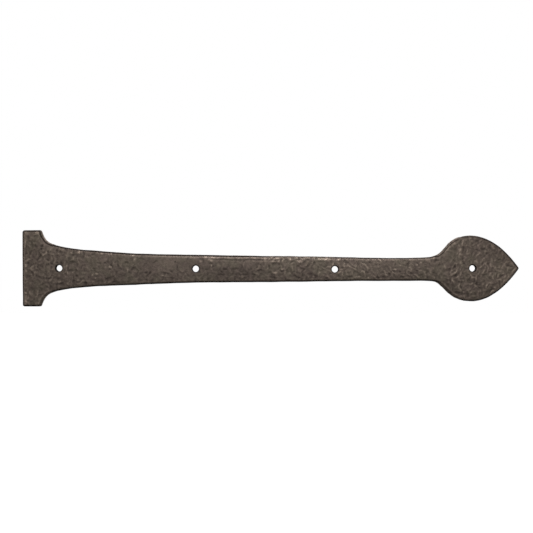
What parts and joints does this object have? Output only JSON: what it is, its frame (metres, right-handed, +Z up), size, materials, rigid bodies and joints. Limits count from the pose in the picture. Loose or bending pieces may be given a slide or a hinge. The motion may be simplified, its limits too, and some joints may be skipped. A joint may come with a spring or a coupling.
{
  "type": "ornamental door hinge strap",
  "caption": "Hammered bronze strap with a T-shaped butt end, a flared root, a long tapering bar and a leaf-shaped tip, drilled for screws through its face.",
  "frame": {"origin": "on the back face, on the centre line, halfway along the strap's length", "axes": "+X along the strap from the straight butt end to the pointed tip; +Y out of the back face, into the door; +Z up across the strap, as it hangs on an upright door"},
  "size_m": [0.4572, 0.0048, 0.07],
  "materials": {
    "patinated_bronze": "hammered, dark oil-rubbed patina, satin"
  },
  "bodies": {
    "root": {"hinge_strap": "patinated_bronze"}
  },
  "joints": []
}
